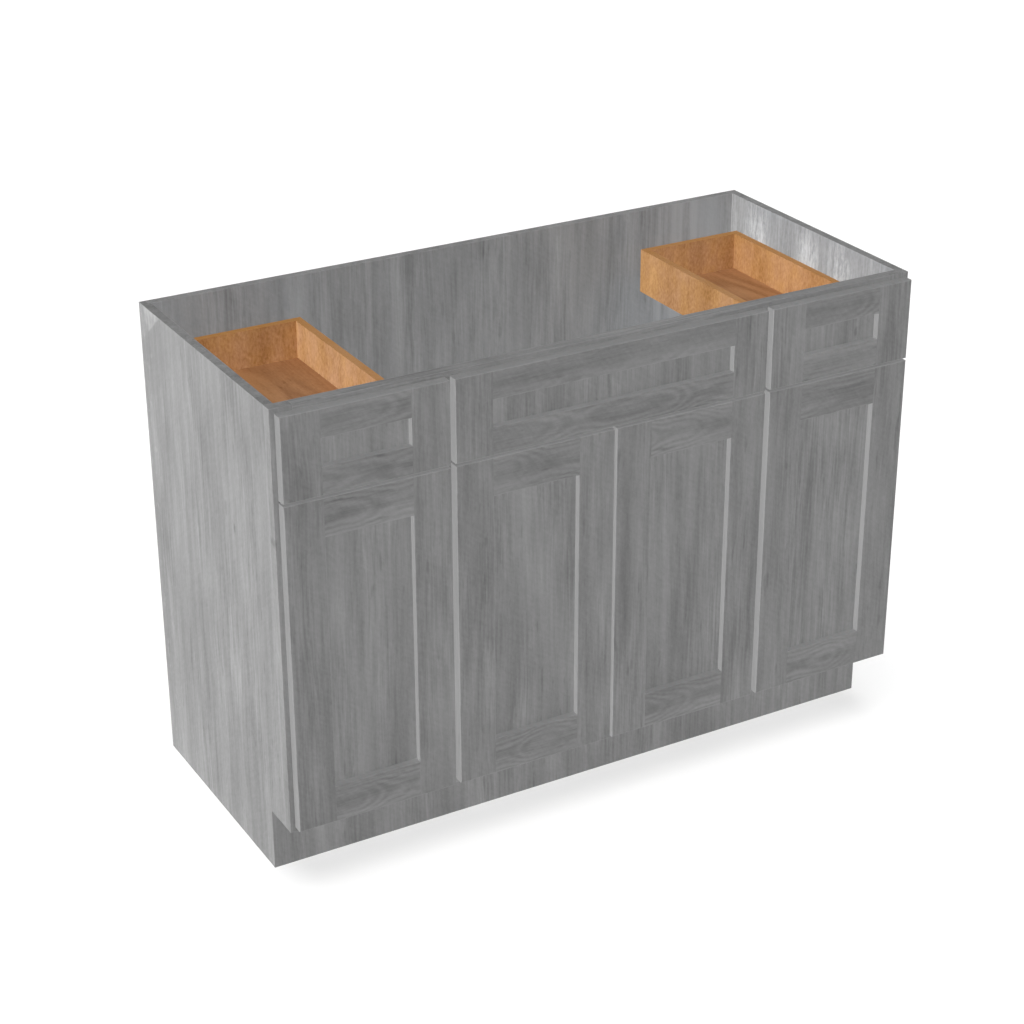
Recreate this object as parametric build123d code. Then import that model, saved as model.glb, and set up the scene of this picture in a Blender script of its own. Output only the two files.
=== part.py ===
from build123d import *
import os

# A vanity sink base: an open-topped wooden cabinet on a toe kick, with a face frame,
# four framed doors, a fixed front over the sink space and a drawer at each end.
# Millimetres. X runs to the right seen from the front, Y to the back, Z up.
# The origin is on the floor, under the middle of the whole cabinet.

# Cabinet box
cabinet_width = 1219.2
cabinet_height = 876.3
box_depth = 533.4
side_t = 15.9
bottom_t = 15.9
back_t = 15.9
dado_depth = 5.0

# Toe kick
toe_height = 114.3
toe_setback = 76.2
toe_board_t = 15.9
toe_skin_t = 6.35

# Face frame
frame_t = 19.05
top_rail_h = 38.1
bottom_rail_h = 38.1
side_section_w = 304.8
rail_overlay = 12.7

# Doors and drawer fronts: frames with a flat panel set back in grooves
recess = 12.0
panel_t = 4.8
back_lip = 2.25
groove_depth = 9.0
panel_play = 0.8
stile_w = 68.0
door_rail_h = 67.5
drawer_rail_h = 49.0
edge_r = 1.5

# Gaps and reveals around the fronts
front_standoff = 2.0
end_reveal = 7.5
top_reveal = 7.5
bottom_reveal = 10.7
mullion_gap = 9.5
pair_gap = 4.0
row_gap = 4.5
drawer_front_h = 146.0

# Concealed hinges: a cup in the door, a bent arm on the frame and one pin
hinge_inset = 80.0
cup_r = 17.5
cup_edge = 3.0
cup_cover = 5.0
cup_wall = 1.0
cup_fit = 0.05
cup_rim_w = 1.5
cup_rim_t = 0.8
knuckle_r = 2.5
knuckle_w = 8.0
knuckle_side_gap = 0.3
knuckle_edge_gap = 1.0
knuckle_floor_gap = 0.5
pin_r = 1.5
pin_fit = 0.05
pin_length = 15.0
lug_r = 3.2
arm_t = 2.0
arm_swing_room = 3.25
arm_plate_h = 50.0
arm_plate_d = 16.0
arm_plate_setback = 1.0

# Screws
screw_r = 1.75
screw_head_r = 3.5
screw_head_t = 2.0
screw_fit = 0.05
hinge_screw_length = 14.0
hinge_screw_pitch = 34.0
false_front_bite = 12.0

# Cleats that hold the fixed front over the sink space
cleat_w = 60.0
cleat_t = 15.9
cleat_lap = 18.0
cleat_spacing = 300.0

# Bumper discs on the frame
bumper_r = 4.0
bumper_relief = 0.1
bumper_inset = 18.0

# Drawer boxes
drawer_side_gap = 7.0
drawer_floor_gap = 7.0
drawer_rear_gap = 62.3
drawer_box_h = 82.5
drawer_wall_t = 14.0
drawer_rabbet = 7.0
drawer_bottom_t = 5.5
drawer_bottom_recess = 9.0
drawer_groove = 6.0

# Undermount slides: three nested channels on each side of a drawer
slide_inset = 28.0
slide_w = 20.0
slide_metal = 1.5
slide_run_gap = 0.3
slide_drop = 10.0
slide_headroom = 1.5
slide_tab_h = 15.0
slide_end_gap = 1.0
notch_room = 2.0
bracket_length = 40.0
bracket_h = 25.0
clip_w = 34.0

# Planes across the depth, from the front of the doors to the wall
front_t = recess + panel_t + back_lip
overall_depth = box_depth + front_standoff + front_t
y_front = -overall_depth / 2
y_front_back = y_front + front_t
y_frame = y_front_back + front_standoff
y_frame_back = y_frame + frame_t
y_wall = overall_depth / 2
y_back_panel = y_wall - back_t
y_toe = y_frame + toe_setback
y_toe_board = y_toe + toe_skin_t

# Hinge geometry, measured from a door's hinge edge and back face
cup_depth = front_t - cup_cover
pivot_inset = cup_edge + knuckle_edge_gap + knuckle_r
pivot_depth = cup_depth - cup_wall - knuckle_floor_gap - knuckle_r
overlay = cup_edge + 2 * cup_r - cup_wall - arm_swing_room - arm_t

# Lines across the width, for the left half
x_end = -cabinet_width / 2
x_side_inner = x_end + side_t
x_dado = x_side_inner - dado_depth
x_end_stile = x_end + end_reveal + overlay
x_mullion = x_end + side_section_w
mullion_half = mullion_gap / 2 + overlay
x_mullion_outer = x_mullion - mullion_half
x_mullion_inner = x_mullion + mullion_half
x_side_front_0 = x_end + end_reveal
x_side_front_1 = x_mullion - mullion_gap / 2
x_centre_front = x_mullion + mullion_gap / 2

# Levels
z_deck_top = toe_height + bottom_rail_h
z_deck_under = z_deck_top - bottom_t
z_door_0 = toe_height + bottom_reveal
z_drawer_front_1 = cabinet_height - top_reveal
z_drawer_front_0 = z_drawer_front_1 - drawer_front_h
z_door_1 = z_drawer_front_0 - row_gap
z_mid_rail_0 = z_door_1 - rail_overlay
z_mid_rail_1 = z_drawer_front_0 + rail_overlay
z_top_rail = cabinet_height - top_rail_h

# How near an edge's middle lies to the side that it is picked by
touch = 0.001

nodes = {}


def block(x0, x1, y0, y1, z0, z1):
    """A straight board between two opposite corners."""
    board = Box(x1 - x0, y1 - y0, z1 - z0, align=(Align.MIN, Align.MIN, Align.MIN))
    return Pos(x0, y0, z0) * board


def rod(start, axis, radius, length):
    """A round bar that starts at a point and runs along +X, +Y or +Z."""
    turn = {"x": Rot(0, 90, 0), "y": Rot(-90, 0, 0), "z": Rot(0, 0, 0)}[axis]
    bar = Cylinder(radius, length, align=(Align.CENTER, Align.CENTER, Align.MIN))
    return Pos(*start) * turn * bar


def mirrored(pieces):
    """The same pieces on the right half of the cabinet."""
    return [mirror(piece, about=Plane.YZ) for piece in pieces]


def keep(name, pieces):
    """Store the solids of one node."""
    nodes[name] = [piece.solid() for piece in pieces]


def keep_both(left_name, right_name, pieces):
    """Store a node of the left half and its mirror image."""
    keep(left_name, pieces)
    keep(right_name, mirrored(pieces))


# Cabinet box: side panels notched for the toe kick, with dadoes for the deck and rabbets for the back
def side_panel():
    board = block(x_end, x_side_inner, y_frame_back, y_wall, 0, cabinet_height)
    board -= block(x_end, x_side_inner, y_frame_back, y_toe_board, 0, toe_height)
    return board - deck - back


deck = block(x_dado, -x_dado, y_frame_back, y_back_panel, z_deck_under, z_deck_top)
back = block(x_dado, -x_dado, y_back_panel, y_wall, z_deck_under, cabinet_height)
keep_both("left_side_panel", "right_side_panel", [side_panel()])
keep("bottom_panel", [deck])
keep("back_panel", [back])

# Toe kick: a board between the sides under the deck, and a skin across the whole front
keep("toe_kick_board", [
    block(x_side_inner, -x_side_inner, y_toe_board, y_toe_board + toe_board_t, 0, z_deck_under)
])
keep("toe_kick_skin", [block(x_end, -x_end, y_toe, y_toe_board, 0, toe_height)])


# Hinges: each turns on one pin in the cup's lugs, near the door's hinge edge
def hinge_screw_centres(z_hinge):
    """Where the two screws of a hinge arm go into the frame's edge, as Y and Z."""
    y_screw = y_frame + arm_plate_setback + arm_plate_d / 2
    return [(y_screw, z_hinge + side * hinge_screw_pitch / 2) for side in (-1, 1)]


def hinge_cup(x_hinge, z_hinge):
    y_floor = y_front_back - cup_depth
    x_cup = x_hinge + cup_edge + cup_r
    x_pivot = x_hinge + pivot_inset
    y_pivot = y_front_back - pivot_depth
    body = rod((x_cup, y_floor, z_hinge), "y", cup_r, cup_depth)
    rim = rod((x_cup, y_front_back, z_hinge), "y", cup_r + cup_rim_w, cup_rim_t)
    rim_cut = block(x_hinge - cup_r, x_hinge + cup_edge, y_front_back, y_front_back + cup_rim_t,
                    z_hinge - cup_r, z_hinge + cup_r)
    hollow = rod((x_cup, y_floor + cup_wall, z_hinge), "y", cup_r - cup_wall, cup_depth + cup_rim_t)
    lugs = body & block(x_hinge, x_pivot + lug_r, y_floor, y_pivot + lug_r,
                        z_hinge - cup_r, z_hinge + cup_r)
    slot_half = knuckle_w / 2 + knuckle_side_gap
    slot = block(x_hinge, x_cup, y_floor + cup_wall, y_front_back + cup_rim_t,
                 z_hinge - slot_half, z_hinge + slot_half)
    pin_hole = rod((x_pivot, y_pivot, z_hinge - pin_length / 2 - pin_fit), "z",
                   pin_r + pin_fit, pin_length + 2 * pin_fit)
    return body + (rim - rim_cut) - hollow + lugs - slot - pin_hole


def hinge_pocket(x_hinge, z_hinge):
    """The round pocket that a cup is pressed into."""
    x_cup = x_hinge + cup_edge + cup_r
    return rod((x_cup, y_front_back - cup_depth, z_hinge), "y", cup_r + cup_fit, cup_depth)


def hinge_pin(x_hinge, z_hinge):
    centre = (x_hinge + pivot_inset, y_front_back - pivot_depth, z_hinge - pin_length / 2)
    return rod(centre, "z", pin_r, pin_length)


def hinge_arm(x_hinge, z_hinge):
    x_pivot = x_hinge + pivot_inset
    y_pivot = y_front_back - pivot_depth
    x_edge = x_hinge + overlay
    z_low = z_hinge - knuckle_w / 2
    y_low = y_pivot - knuckle_r
    y_plate = y_frame + arm_plate_setback
    knuckle = rod((x_pivot, y_pivot, z_low), "z", knuckle_r, knuckle_w)
    reach = block(x_pivot, x_edge + arm_t, y_low, y_low + arm_t, z_low, z_low + knuckle_w)
    neck = block(x_edge, x_edge + arm_t, y_low, y_plate, z_low, z_low + knuckle_w)
    plate = block(x_edge, x_edge + arm_t, y_plate, y_plate + arm_plate_d,
                  z_hinge - arm_plate_h / 2, z_hinge + arm_plate_h / 2)
    arm = knuckle + reach + neck + plate
    arm -= rod((x_pivot, y_pivot, z_low), "z", pin_r, knuckle_w)
    for y_screw, z_screw in hinge_screw_centres(z_hinge):
        arm -= rod((x_edge, y_screw, z_screw), "x", screw_r + screw_fit, arm_t)
    return arm


def hinge_screws(x_hinge, z_hinge):
    x_head = x_hinge + overlay + arm_t
    screws = []
    for y_screw, z_screw in hinge_screw_centres(z_hinge):
        head = rod((x_head, y_screw, z_screw), "x", screw_head_r, screw_head_t)
        x_tip = x_head - arm_t - hinge_screw_length
        shank = rod((x_tip, y_screw, z_screw), "x", screw_r, arm_t + hinge_screw_length)
        screws.append(head + shank)
    return screws


def hinge_screw_holes(x_hinge, z_hinge):
    """Bores in the frame's edge for the two screws of a hinge arm."""
    x_tip = x_hinge + overlay - hinge_screw_length
    return [
        rod((x_tip, y_screw, z_screw), "x", screw_r + screw_fit, hinge_screw_length)
        for y_screw, z_screw in hinge_screw_centres(z_hinge)
    ]


hinge_levels = (z_door_0 + hinge_inset, z_door_1 - hinge_inset)
side_hinges = [(x_side_front_0, z) for z in hinge_levels]
centre_hinges = [(x_centre_front, z) for z in hinge_levels]
left_hinges = side_hinges + centre_hinges
left_arms = [hinge_arm(*place) for place in left_hinges]
left_pins = [hinge_pin(*place) for place in left_hinges]
left_hinge_screws = [screw for place in left_hinges for screw in hinge_screws(*place)]
keep("hinge_arms", left_arms + mirrored(left_arms))
keep("hinge_pins", left_pins + mirrored(left_pins))
keep("hinge_screws", left_hinge_screws + mirrored(left_hinge_screws))


# Face frame: end stiles, mullions and rails, all flush at the front
def drilled(board, hinges):
    """A frame board with the screw bores of its hinges."""
    for place in hinges:
        for hole in hinge_screw_holes(*place):
            board -= hole
    return board


end_stile = block(x_end, x_end_stile, y_frame, y_frame_back, toe_height, cabinet_height)
end_stile = drilled(end_stile, side_hinges)
mullion = block(x_mullion_outer, x_mullion_inner, y_frame, y_frame_back, z_deck_top, z_top_rail)
mullion = drilled(mullion, centre_hinges)
drawer_rail = block(x_end_stile, x_mullion_outer, y_frame, y_frame_back, z_mid_rail_0, z_mid_rail_1)
keep("frame_end_stiles", [end_stile] + mirrored([end_stile]))
keep("frame_mullions", [mullion] + mirrored([mullion]))
keep("frame_drawer_rails", [drawer_rail] + mirrored([drawer_rail]))
keep("frame_centre_rail", [
    block(x_mullion_inner, -x_mullion_inner, y_frame, y_frame_back, z_mid_rail_0, z_mid_rail_1)
])
keep("frame_top_rail", [
    block(x_end_stile, -x_end_stile, y_frame, y_frame_back, z_top_rail, cabinet_height)
])
keep("frame_bottom_rail", [
    block(x_end_stile, -x_end_stile, y_frame, y_frame_back, toe_height, z_deck_top)
])


# Framed fronts: stiles with a full groove, rails with stub tenons, and a loose flat panel
def eased(board, x_sides, z_sides):
    """Round a board's front and back edges along its outer sides at the given X and Z."""
    edges = []
    for edge in board.edges().filter_by(Axis.Y, reverse=True):
        middle = edge.center()
        on_x = any(abs(middle.X - x) < touch for x in x_sides)
        on_z = any(abs(middle.Z - z) < touch for z in z_sides)
        if on_x or on_z:
            edges.append(edge)
    return fillet(edges, edge_r)


def framed_front(x0, x1, z0, z1, rail_h):
    """The two stiles, the two rails and the panel of one door or drawer front."""
    y_groove = y_front + recess
    y_groove_back = y_groove + panel_t
    x_inner_0 = x0 + stile_w
    x_inner_1 = x1 - stile_w
    x_panel_0 = x_inner_0 - groove_depth
    x_panel_1 = x_inner_1 + groove_depth
    z_panel_0 = z0 + rail_h - groove_depth
    z_panel_1 = z1 - rail_h + groove_depth
    panel_room = block(x_panel_0, x_panel_1, y_groove, y_groove_back, z_panel_0, z_panel_1)
    groove_room = block(x_panel_0, x_panel_1, y_groove, y_groove_back, z0, z1)
    stiles = []
    for x_low, x_high, x_outer in ((x0, x_inner_0, x0), (x_inner_1, x1, x1)):
        stile = eased(block(x_low, x_high, y_front, y_front_back, z0, z1), [x_outer], [z0, z1])
        stiles.append(stile - groove_room)
    rails = []
    for z_low, z_outer in ((z0, z0), (z1 - rail_h, z1)):
        z_high = z_low + rail_h
        rail = eased(block(x_inner_0, x_inner_1, y_front, y_front_back, z_low, z_high), [], [z_outer])
        rail += block(x_panel_0, x_panel_1, y_groove, y_groove_back, z_low, z_high)
        rails.append(rail - panel_room)
    panel = block(x_panel_0 + panel_play, x_panel_1 - panel_play, y_groove, y_groove_back,
                  z_panel_0 + panel_play, z_panel_1 - panel_play)
    return stiles, rails, panel


def hinged_door(left_name, right_name, x0, x1, hinges):
    """A door of the left half, hinged at its left edge, and its mirror image."""
    stiles, rails, panel = framed_front(x0, x1, z_door_0, z_door_1, door_rail_h)
    for place in hinges:
        stiles[0] -= hinge_pocket(*place)
    keep_both(f"{left_name}_stiles", f"{right_name}_stiles", stiles)
    keep_both(f"{left_name}_rails", f"{right_name}_rails", rails)
    keep_both(f"{left_name}_panel", f"{right_name}_panel", [panel])
    cups = [hinge_cup(*place) for place in hinges]
    keep_both(f"{left_name}_hinge_cups", f"{right_name}_hinge_cups", cups)


hinged_door("left_door", "right_door", x_side_front_0, x_side_front_1, side_hinges)
hinged_door("centre_left_door", "centre_right_door", x_centre_front, -pair_gap / 2, centre_hinges)

# Fixed front over the sink space, screwed through the frame's opening to two cleats
false_stiles, false_rails, false_panel = framed_front(
    x_centre_front, -x_centre_front, z_drawer_front_0, z_drawer_front_1, drawer_rail_h)
z_screw_low = (z_mid_rail_1 + z_drawer_front_0 + drawer_rail_h - groove_depth) / 2
z_screw_high = (z_top_rail + z_drawer_front_1 - drawer_rail_h + groove_depth) / 2
y_screw_tip = y_front_back - false_front_bite
y_cleat_back = y_frame_back + cleat_t
cleats = []
false_screws = []
for x_cleat in (-cleat_spacing / 2, cleat_spacing / 2):
    cleat = block(x_cleat - cleat_w / 2, x_cleat + cleat_w / 2, y_frame_back, y_cleat_back,
                  z_mid_rail_1 - cleat_lap, z_top_rail + cleat_lap)
    for row, z_screw in enumerate((z_screw_low, z_screw_high)):
        tip = (x_cleat, y_screw_tip, z_screw)
        shank = rod(tip, "y", screw_r, y_cleat_back - y_screw_tip)
        head = rod((x_cleat, y_cleat_back, z_screw), "y", screw_head_r, screw_head_t)
        bore = rod(tip, "y", screw_r + screw_fit, y_cleat_back - y_screw_tip)
        false_screws.append(shank + head)
        cleat -= bore
        false_rails[row] -= bore
    cleats.append(cleat)
keep("false_front_stiles", false_stiles)
keep("false_front_rails", false_rails)
keep("false_front_panel", [false_panel])
keep("false_front_cleats", cleats)
keep("false_front_screws", false_screws)

# Bumper discs on the frame, behind the free corners of the doors and the drawer fronts
z_bumper_deck = (z_door_0 + z_deck_top) / 2
z_bumper_door = (z_mid_rail_0 + z_door_1) / 2
z_bumper_drawer = (z_drawer_front_0 + z_mid_rail_1) / 2
z_bumper_top = (z_top_rail + z_drawer_front_1) / 2
bumper_t = front_standoff - bumper_relief
bumper_places = [
    (x_free - bumper_inset, z)
    for x_free in (x_side_front_1, -pair_gap / 2)
    for z in (z_bumper_deck, z_bumper_door)
] + [
    (x, z)
    for x in (x_side_front_0 + bumper_inset, x_side_front_1 - bumper_inset, x_centre_front + bumper_inset)
    for z in (z_bumper_drawer, z_bumper_top)
]
left_bumpers = [rod((x, y_frame - bumper_t, z), "y", bumper_r, bumper_t) for x, z in bumper_places]
keep("bumpers", left_bumpers + mirrored(left_bumpers))

# Drawers: an overlay front on a box of four boards and a thin bottom
x_box_0 = x_end_stile + drawer_side_gap
x_box_1 = x_mullion_outer - drawer_side_gap
y_box_0 = y_front_back
y_box_1 = y_back_panel - drawer_rear_gap
z_box_0 = z_mid_rail_1 + drawer_floor_gap
z_box_1 = z_box_0 + drawer_box_h
z_bottom_under = z_box_0 + drawer_bottom_recess
x_wall_0 = x_box_0 + drawer_wall_t
x_wall_1 = x_box_1 - drawer_wall_t
y_wall_0 = y_box_0 + drawer_wall_t
y_wall_1 = y_box_1 - drawer_wall_t
slide_starts = (x_wall_0 + slide_inset, x_wall_1 - slide_inset - slide_w)

drawer_bottom = block(x_wall_0 - drawer_groove, x_wall_1 + drawer_groove,
                      y_wall_0 - drawer_groove, y_wall_1 + drawer_groove,
                      z_bottom_under, z_bottom_under + drawer_bottom_t)
x_tongue_0 = x_wall_0 - drawer_rabbet
x_tongue_1 = x_wall_1 + drawer_rabbet
drawer_box_front = block(x_tongue_0, x_tongue_1, y_box_0, y_wall_0, z_box_0, z_box_1)
drawer_box_back = block(x_tongue_0, x_tongue_1, y_wall_1, y_box_1, z_box_0, z_box_1)
drawer_sides = [
    block(x_low, x_low + drawer_wall_t, y_box_0, y_box_1, z_box_0, z_box_1)
    - drawer_box_front - drawer_box_back - drawer_bottom
    for x_low in (x_box_0, x_wall_1)
]
drawer_box_front -= drawer_bottom
drawer_box_back -= drawer_bottom
for x_slide in slide_starts:
    drawer_box_back -= block(x_slide - notch_room, x_slide + slide_w + notch_room,
                             y_wall_1, y_box_1, z_box_0, z_bottom_under)

drawer_stiles, drawer_rails, drawer_panel = framed_front(
    x_side_front_0, x_side_front_1, z_drawer_front_0, z_drawer_front_1, drawer_rail_h)
keep_both("left_drawer_front_stiles", "right_drawer_front_stiles", drawer_stiles)
keep_both("left_drawer_front_rails", "right_drawer_front_rails", drawer_rails)
keep_both("left_drawer_front_panel", "right_drawer_front_panel", [drawer_panel])
keep_both("left_drawer_box_sides", "right_drawer_box_sides", drawer_sides)
keep_both("left_drawer_box_front", "right_drawer_box_front", [drawer_box_front])
keep_both("left_drawer_box_back", "right_drawer_box_back", [drawer_box_back])
keep_both("left_drawer_box_bottom", "right_drawer_box_bottom", [drawer_bottom])


# Undermount slides: a channel on the cabinet, a carriage in it and a member under the drawer
def channel(x0, x1, y0, y1, z0, z1):
    """A sheet-metal channel that is open at the top."""
    inside = block(x0 + slide_metal, x1 - slide_metal, y0, y1, z0 + slide_metal, z1)
    return block(x0, x1, y0, y1, z0, z1) - inside


slide_step = slide_metal + slide_run_gap
z_member = z_bottom_under - slide_drop
z_carriage = z_member - slide_step
z_channel = z_carriage - slide_step
z_channel_top = z_bottom_under - slide_headroom
y_clip_back = y_frame_back - slide_end_gap
y_channel_back = y_back_panel - slide_metal - slide_end_gap
y_carriage_back = y_channel_back - slide_end_gap
cabinet_members = []
carriages = []
drawer_members = []
rear_brackets = []
locking_clips = []
for x_slide, x_clip in zip(slide_starts, (slide_starts[0], slide_starts[1] + slide_w - clip_w)):
    x_slide_1 = x_slide + slide_w
    cabinet_member = channel(x_slide, x_slide_1, y_frame_back, y_channel_back, z_channel, z_channel_top)
    cabinet_member += block(x_slide, x_slide_1, y_frame_back, y_frame_back + slide_metal,
                            z_mid_rail_1 - slide_tab_h, z_channel + slide_metal)
    cabinet_members.append(cabinet_member)
    carriages.append(channel(x_slide + slide_step, x_slide_1 - slide_step, y_frame_back + slide_end_gap,
                             y_carriage_back, z_carriage, z_channel_top))
    x_member_0 = x_slide + 2 * slide_step
    x_member_1 = x_slide_1 - 2 * slide_step
    member = block(x_member_0, x_member_1, y_clip_back, y_wall_1, z_member, z_bottom_under)
    member -= block(x_member_0 + slide_metal, x_member_1 - slide_metal, y_clip_back, y_wall_1,
                    z_member, z_bottom_under - slide_metal)
    drawer_members.append(member)
    plate = block(x_slide, x_slide_1, y_back_panel - slide_metal, y_back_panel,
                  z_channel - bracket_h, z_channel)
    tongue = block(x_slide, x_slide_1, y_back_panel - bracket_length, y_back_panel,
                   z_channel - slide_metal, z_channel)
    rear_brackets.append(plate + tongue)
    locking_clips.append(block(x_clip, x_clip + clip_w, y_wall_0, y_clip_back, z_member, z_bottom_under))
keep("slide_cabinet_members", cabinet_members + mirrored(cabinet_members))
keep("slide_rear_brackets", rear_brackets + mirrored(rear_brackets))
keep_both("left_drawer_carriages", "right_drawer_carriages", carriages)
keep_both("left_drawer_slide_members", "right_drawer_slide_members", drawer_members)
keep_both("left_drawer_locking_clips", "right_drawer_locking_clips", locking_clips)

os.makedirs("parts", exist_ok=True)
for name, pieces in nodes.items():
    export_step(Compound(pieces), f"parts/{name}.step")
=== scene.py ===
from math import cos, pi, radians, sin

import bmesh
import bpy
from mathutils import Matrix, Vector


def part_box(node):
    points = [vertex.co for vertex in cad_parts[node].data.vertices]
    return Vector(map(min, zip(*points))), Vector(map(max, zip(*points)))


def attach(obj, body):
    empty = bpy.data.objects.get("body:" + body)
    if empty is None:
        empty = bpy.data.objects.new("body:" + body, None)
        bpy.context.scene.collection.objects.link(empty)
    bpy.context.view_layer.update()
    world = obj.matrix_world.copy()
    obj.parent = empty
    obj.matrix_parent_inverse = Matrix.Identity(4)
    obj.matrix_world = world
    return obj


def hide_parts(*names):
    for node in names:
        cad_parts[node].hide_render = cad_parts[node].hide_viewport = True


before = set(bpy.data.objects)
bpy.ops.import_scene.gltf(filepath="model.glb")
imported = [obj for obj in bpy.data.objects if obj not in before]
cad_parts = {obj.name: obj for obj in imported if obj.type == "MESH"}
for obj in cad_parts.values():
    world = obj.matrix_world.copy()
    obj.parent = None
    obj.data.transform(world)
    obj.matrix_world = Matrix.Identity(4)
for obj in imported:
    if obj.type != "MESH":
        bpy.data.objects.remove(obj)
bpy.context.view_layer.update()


# Side panels: two plywood sides faced with grey stained veneer, the grain upright, notched at the foot.
# They are glued and stapled to the face frame, the back, the deck and the toe kick.
# The stain, the timber figure and the sanded edges that all the grey wood shares are made here.


def put(tree, kind, feeds=None, **settings):
    """Sets one node in a tree, its inputs fed with numbers or with the outputs of nodes set before it."""
    made = tree.nodes.new(kind)
    for name, value in settings.items():
        setattr(made, name, value)
    for socket, value in (feeds or {}).items():
        if isinstance(value, bpy.types.NodeSocket):
            tree.links.new(value, made.inputs[socket])
        else:
            made.inputs[socket].default_value = value
    return made


def reckon(tree, operation, *values):
    """One sum on numbers that change over the surface."""
    return put(tree, "ShaderNodeMath", dict(enumerate(values)), operation=operation).outputs[0]


def times(tree, first, *others):
    """Masks or numbers multiplied together."""
    for other in others:
        first = reckon(tree, "MULTIPLY", first, other)
    return first


def gap(tree, value, mark):
    """How far a number is from a mark, to either side."""
    return reckon(tree, "ABSOLUTE", reckon(tree, "SUBTRACT", value, mark))


def reckon_places(tree, operation, *values):
    """One sum on places that change over the surface."""
    return put(tree, "ShaderNodeVectorMath", dict(enumerate(values)), operation=operation).outputs[0]


def apart(tree, place):
    """The three numbers of a place."""
    return put(tree, "ShaderNodeSeparateXYZ", {0: place}).outputs


def together(tree, *values):
    """A place made of three numbers."""
    return put(tree, "ShaderNodeCombineXYZ", dict(enumerate(values))).outputs[0]


def on_surface(tree):
    """The place on the surface, in metres, in the cabinet's own frame."""
    return put(tree, "ShaderNodeTexCoord").outputs["Object"]


def ease(tree, value, low, high, start=0.0, end=1.0):
    """Turns the range from low to high into the range from start to end, with soft ends."""
    feeds = dict(enumerate((value, low, high, start, end)))
    return put(tree, "ShaderNodeMapRange", feeds, interpolation_type="SMOOTHSTEP").outputs[0]


def weigh(tree, total, *pairs):
    """Adds masks to a starting value, each times its own weight."""
    for mask, weight in pairs:
        total = reckon(tree, "MULTIPLY_ADD", mask, weight, total)
    return total


def tone_about(tree, middle, masks, weights):
    """How light a surface is: masks weighed in about a middle tone, and pores, which only darken it."""
    start = middle - sum(weight for name, weight in weights.items() if name != "Pores") / 2
    return weigh(tree, start, *[(masks[name], weight) for name, weight in weights.items()])


def stretched_noise(tree, place, stretch, shift, detail=2.0, roughness=0.5):
    """Cloudy noise with so many waves to the metre in each direction, moved on by shift."""
    scaled = reckon_places(tree, "MULTIPLY_ADD", place, stretch, shift)
    feeds = {"Vector": scaled, "Scale": 1.0, "Detail": detail, "Roughness": roughness}
    return put(tree, "ShaderNodeTexNoise", feeds).outputs[0]


def tint(tree, amount, first, second, how="MIX"):
    """Lays a second colour on a first by an amount."""
    feeds = {0: amount, 6: first, 7: second}
    return put(tree, "ShaderNodeMix", feeds, data_type="RGBA", blend_type=how).outputs[2]


def new_group(name, takes, gives):
    """An empty shader node group with its named inputs and outputs."""
    tree = bpy.data.node_groups.new(name, "ShaderNodeTree")
    for socket, value in takes.items():
        kind = "NodeSocketVector" if isinstance(value, tuple) else "NodeSocketFloat"
        tree.interface.new_socket(socket, in_out="INPUT", socket_type=kind).default_value = value
    for socket in gives:
        tree.interface.new_socket(socket, in_out="OUTPUT", socket_type="NodeSocketFloat")
    return tree, put(tree, "NodeGroupInput").outputs


def give(tree, values):
    """Closes a group: each value goes out through the output of its name."""
    put(tree, "NodeGroupOutput", values)


# Timber figure. A board place is across the grain, through the board and along the grain, in metres.
# Lean, clouds and sway bend the grain, hairs and broad bands streak it, and the rings follow a slow field.
timber, given = new_group(
    "timber figure",
    {"Board place": (0.0, 0.0, 0.0), "Seed": 0.0, "Arch": 0.1, "Rings": 6.0, "Crests": 0.0,
     "From heart": 0.0},
    ("Streaks", "Mottle", "Figure", "Pores", "Specks", "Knots", "Relief"),
)
place = given["Board place"]
step_on = {0: (3.71, 5.13, 7.37), "Scale": given["Seed"]}
jump = put(timber, "ShaderNodeVectorMath", step_on, operation="SCALE").outputs[0]
clouds = stretched_noise(timber, place, (14.0, 14.0, 4.0), jump, 3.0)
lean = stretched_noise(timber, place, (3.0, 3.0, 1.1), jump)
sway = weigh(timber, -0.022, (lean, 0.034), (clouds, 0.010))
fibre_place = reckon_places(timber, "ADD", place, together(timber, sway, sway))
busy = ease(timber, stretched_noise(timber, place, (15.0, 15.0, 2.6), jump), 0.35, 0.65, 0.25, 1.3)
hairs = stretched_noise(timber, fibre_place, (210.0, 210.0, 9.0), jump, 3.0, 0.6)
fine = reckon(timber, "SUBTRACT", hairs, 0.5)
broad = stretched_noise(timber, fibre_place, (62.0, 62.0, 2.6), jump)
streaks = weigh(timber, 0.31, (times(timber, fine, busy), 0.58), (broad, 0.38))
lengthwise = apart(timber, place)
slant = reckon(timber, "MULTIPLY_ADD", lengthwise[0], 0.7, lengthwise[2])
slanting = together(timber, lengthwise[0], lengthwise[1], slant)
curl = stretched_noise(timber, slanting, (60.0, 60.0, 150.0), jump, 1.0)
mottle = weigh(timber, 0.0, (clouds, 0.8), (curl, 0.2))
arch_scale = together(timber, 8.0, 5.0, times(timber, given["Arch"], 9.0))
field = stretched_noise(timber, fibre_place, arch_scale, jump, 2.0, 0.3)
bowed = reckon(timber, "POWER", times(timber, given["From heart"], 18.0), 2.0)
field = weigh(timber, field, (lengthwise[2], given["Crests"]), (bowed, 1.0))
rings = reckon(timber, "SINE", times(timber, field, given["Rings"], 2 * pi))
shown = ease(timber, stretched_noise(timber, place, (9.0, 9.0, 4.0), jump), 0.38, 0.58, 0.2, 1.0)
figure = reckon(timber, "MULTIPLY_ADD", times(timber, rings, shown), 0.5, 0.5)
ticks = ease(timber, stretched_noise(timber, fibre_place, (620.0, 620.0, 30.0), jump), 0.55, 0.75)
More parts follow.
